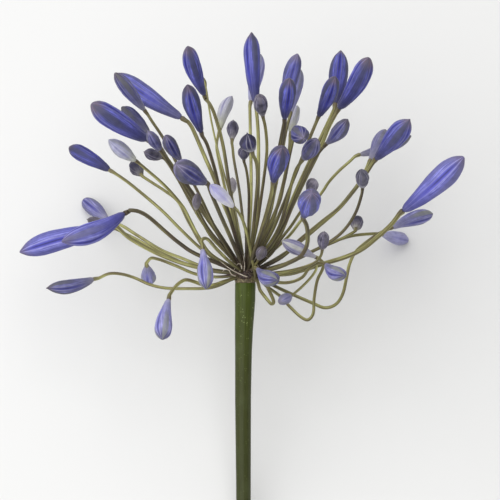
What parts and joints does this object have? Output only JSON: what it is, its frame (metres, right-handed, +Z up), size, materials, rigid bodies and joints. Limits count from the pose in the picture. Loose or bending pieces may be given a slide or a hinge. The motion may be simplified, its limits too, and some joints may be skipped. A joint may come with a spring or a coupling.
{
  "type": "agapanthus flower head in bud",
  "caption": "Cut agapanthus head in bud, lying on its side: a round green scape, a knobbed umbel base and thin olive stalks that fan out to closed violet-blue buds.",
  "frame": {"origin": "centre of the bounding box on the surface that the head lies on, at z = 0", "axes": "+Y from the cut end of the scape towards the buds, along the part's longest extent; +Z up off the surface; +X to the right when the head is looked at from above with its buds away from the viewer"},
  "size_m": [0.1959, 0.2185, 0.1382],
  "materials": {
    "pedicel": "satin plant skin, olive",
    "scape": "satin plant skin, leaf green",
    "ripe_bud": "satin petal skin, violet-blue",
    "half_ripe_bud": "satin petal skin, greyer violet",
    "young_bud": "satin petal skin, dark violet",
    "white_bud": "satin petal skin, cream white"
  },
  "bodies": {
    "root": {"half_ripe_bud_03": "half_ripe_bud", "half_ripe_bud_05": "half_ripe_bud", "half_ripe_bud_06": "half_ripe_bud", "half_ripe_bud_07": "half_ripe_bud", "half_ripe_bud_08": "half_ripe_bud", "half_ripe_bud_10": "half_ripe_bud", "half_ripe_bud_12": "half_ripe_bud", "half_ripe_bud_17": "half_ripe_bud", "half_ripe_bud_26": "half_ripe_bud", "half_ripe_bud_30": "half_ripe_bud", "half_ripe_bud_38": "half_ripe_bud", "half_ripe_bud_41": "half_ripe_bud", "half_ripe_bud_43": "half_ripe_bud", "half_ripe_bud_47": "half_ripe_bud", "half_ripe_bud_50": "half_ripe_bud", "half_ripe_bud_52": "half_ripe_bud", "half_ripe_bud_58": "half_ripe_bud", "pedicels": "pedicel", "ripe_bud_01": "ripe_bud", "ripe_bud_02": "ripe_bud", "ripe_bud_09": "ripe_bud", "ripe_bud_11": "ripe_bud", "ripe_bud_18": "ripe_bud", "ripe_bud_19": "ripe_bud", "ripe_bud_20": "ripe_bud", "ripe_bud_25": "ripe_bud", "ripe_bud_28": "ripe_bud", "ripe_bud_29": "ripe_bud", "ripe_bud_34": "ripe_bud", "ripe_bud_35": "ripe_bud", "ripe_bud_36": "ripe_bud", "ripe_bud_37": "ripe_bud", "ripe_bud_39": "ripe_bud", "ripe_bud_42": "ripe_bud", "ripe_bud_45": "ripe_bud", "ripe_bud_46": "ripe_bud", "scape": "scape", "white_bud_13": "white_bud", "white_bud_21": "white_bud", "white_bud_31": "white_bud", "white_bud_51": "white_bud", "white_bud_55": "white_bud", "young_bud_04": "young_bud", "young_bud_14": "young_bud", "young_bud_15": "young_bud", "young_bud_16": "young_bud", "young_bud_22": "young_bud", "young_bud_23": "young_bud", "young_bud_24": "young_bud", "young_bud_27": "young_bud", "young_bud_32": "young_bud", "young_bud_33": "young_bud", "young_bud_40": "young_bud", "young_bud_44": "young_bud", "young_bud_48": "young_bud", "young_bud_49": "young_bud", "young_bud_53": "young_bud", "young_bud_54": "young_bud", "young_bud_56": "young_bud", "young_bud_57": "young_bud"}
  },
  "joints": []
}
